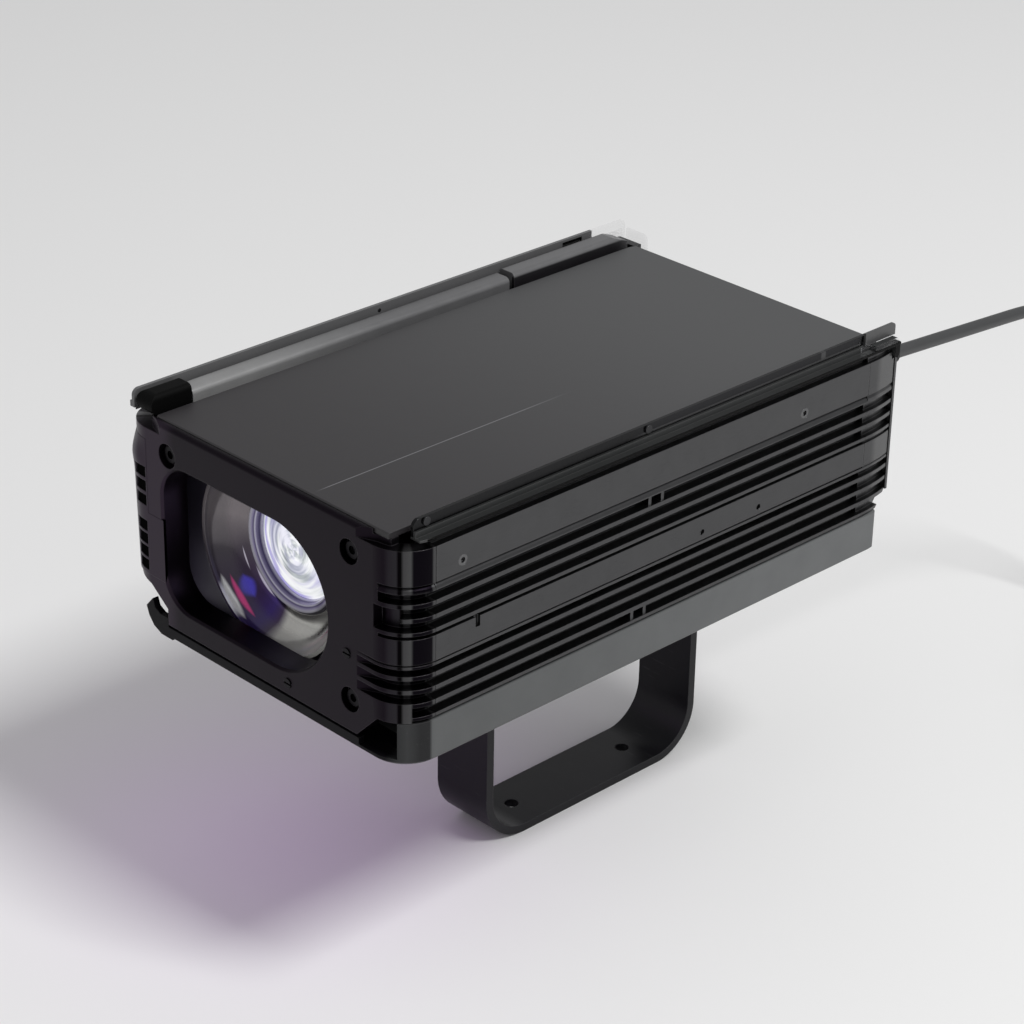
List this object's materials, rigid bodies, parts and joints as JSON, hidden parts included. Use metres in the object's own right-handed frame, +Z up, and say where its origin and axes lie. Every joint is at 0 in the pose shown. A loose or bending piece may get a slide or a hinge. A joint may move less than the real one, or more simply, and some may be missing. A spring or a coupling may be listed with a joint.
{
  "type": "laser show projector",
  "caption": "Box-shaped laser show projector with finned sides, an off-centre lens window, a hinged lid and a bent flat-bar yoke.",
  "frame": {"origin": "centre of the underside of the yoke's foot, midway between its two bolt holes", "axes": "+Z up, the lens looks along -Y, +X is to the left of someone who stands behind it and looks along the beam, and is the long side seen in the picture"},
  "size_m": [0.2781, 0.5051, 0.2266],
  "materials": {
    "anodised": "black anodised extrusion",
    "cast_front": "dark satin cast aluminium",
    "lid_satin": "anthracite satin paint",
    "pan_grey": "grey satin paint",
    "rail_grey": "grey satin",
    "hinge_grey": "grey anodised",
    "smoked": "smoked clear plastic",
    "bowl": "polished reflector",
    "ring": "polished ring",
    "lens": "coated lens",
    "steel": "plain steel",
    "frame_alu": "milled plate",
    "laser_head": "black anodised",
    "brass": "machined",
    "board": "board with solder mask",
    "black_plastic": "moulded",
    "supply_case": "folded sheet case",
    "button": "moulded",
    "display": "clear pane over a dark display",
    "flex": "grey flexible sheath",
    "yoke_black": "black satin paint",
    "washer": "friction lining",
    "wheel": "patterned clear disc"
  },
  "bodies": {
    "chassis": {"base_pan": "pan_grey", "front_bezel": "cast_front", "left_heatsink": "anodised", "right_heatsink": "anodised", "rear_panel": "anodised", "front_frame": "frame_alu", "bulkhead": "frame_alu", "left_rail": "rail_grey", "right_rail": "rail_grey", "left_guard": "smoked", "right_guard": "smoked", "guard_screws": "steel", "hinge_front_block": "black_plastic", "hinge_rear_block": "hinge_grey", "hinge_pin": "steel", "bezel_screws": "steel", "bezel_trim_screws": "steel", "panel_screws": "steel", "m4_screws": "steel", "reflector_bowl": "bowl", "lens_ring": "ring", "inner_lens": "lens", "optical_plate": "frame_alu", "red_laser": "laser_head", "green_laser": "laser_head", "blue_laser": "laser_head", "dichroic_mirrors": "lens", "wheel_bracket": "frame_alu", "wheel_motor": "steel", "shutter_solenoid": "black_plastic", "power_supply": "supply_case", "control_board": "board", "fan_frame": "black_plastic", "fan_grille": "steel", "power_switch": "black_plastic", "key_switch": "steel", "display_window": "display", "signal_sockets": "steel", "cable_gland": "black_plastic", "mains_cord": "flex", "cord_coil": "flex", "mains_plug": "black_plastic", "yoke_hanger": "yoke_black", "friction_washers": "washer", "pivot_bolts": "steel"},
    "lid": {"top_lid": "lid_satin", "lid_hinge_bar": "hinge_grey"},
    "yoke_arm": {"yoke": "yoke_black"},
    "rocker": {"power_rocker": "button"},
    "key": {"key_barrel": "steel"},
    "fan": {"fan_rotor": "black_plastic"},
    "wheel": {"effect_wheel": "wheel"},
    "pinion": {"motor_pinion": "brass"},
    "shutter": {"shutter_flag": "black_plastic"},
    "front_knob": {"lock_knob_front": "black_plastic"},
    "rear_knob": {"lock_knob_rear": "black_plastic"},
    "button_1": {"menu_button_1": "button"},
    "button_2": {"menu_button_2": "button"},
    "button_3": {"menu_button_3": "button"},
    "button_4": {"menu_button_4": "button"}
  },
  "joints": [
    {"name": "yoke_tilt", "type": "hinge", "parent": "chassis", "child": "yoke_arm", "pos_m": [0, 0, 0.098], "axis": [0, 1, 0], "range_deg": [-90, 90]},
    {"name": "lid_hinge", "type": "hinge", "parent": "chassis", "child": "lid", "pos_m": [-0.074, -0.036, 0.2199], "axis": [0, -1, 0], "range_deg": [0, 100]},
    {"name": "power_rocker_tip", "type": "hinge", "parent": "chassis", "child": "rocker", "pos_m": [0.062, 0.1048, 0.164], "axis": [1, 0, 0], "range_deg": [0, 18]},
    {"name": "key_turn", "type": "hinge", "parent": "chassis", "child": "key", "pos_m": [0.034, 0.1097, 0.186], "axis": [0, -1, 0], "range_deg": [0, 90]},
    {"name": "fan_spin", "type": "hinge", "parent": "chassis", "child": "fan", "pos_m": [-0.042, 0.098, 0.176], "axis": [0, 1, 0], "continuous": true},
    {"name": "wheel_spin", "type": "hinge", "parent": "chassis", "child": "wheel", "pos_m": [0.007, -0.1312, 0.1725], "axis": [0, 1, 0], "continuous": true},
    {"name": "pinion_spin", "type": "hinge", "parent": "chassis", "child": "pinion", "pos_m": [0.037, -0.1312, 0.1725], "axis": [0, 1, 0], "continuous": true},
    {"name": "shutter_swing", "type": "hinge", "parent": "chassis", "child": "shutter", "pos_m": [0.015, -0.1101, 0.1725], "axis": [0, 1, 0], "range_deg": [0, 40], "stiffness_Nm_per_rad": 0.004, "springref_deg": -17.19},
    {"name": "front_knob_turn", "type": "hinge", "parent": "chassis", "child": "front_knob", "pos_m": [0, -0.074, 0.098], "axis": [0, -1, 0], "continuous": true},
    {"name": "rear_knob_turn", "type": "hinge", "parent": "chassis", "child": "rear_knob", "pos_m": [0, 0.074, 0.098], "axis": [0, 1, 0], "continuous": true},
    {"name": "button_1_press", "type": "slide", "parent": "chassis", "child": "button_1", "axis": [0, -1, 0], "range_m": [0, 0.001], "stiffness_N_per_m": 800, "springref_m": -0.001},
    {"name": "button_2_press", "type": "slide", "parent": "chassis", "child": "button_2", "axis": [0, -1, 0], "range_m": [0, 0.001], "stiffness_N_per_m": 800, "springref_m": -0.001},
    {"name": "button_3_press", "type": "slide", "parent": "chassis", "child": "button_3", "axis": [0, -1, 0], "range_m": [0, 0.001], "stiffness_N_per_m": 800, "springref_m": -0.001},
    {"name": "button_4_press", "type": "slide", "parent": "chassis", "child": "button_4", "axis": [0, -1, 0], "range_m": [0, 0.001], "stiffness_N_per_m": 800, "springref_m": -0.001}
  ],
  "couplings": [
    {"joint": "pinion_spin", "follows": "wheel_spin", "ratio": -5}
  ]
}
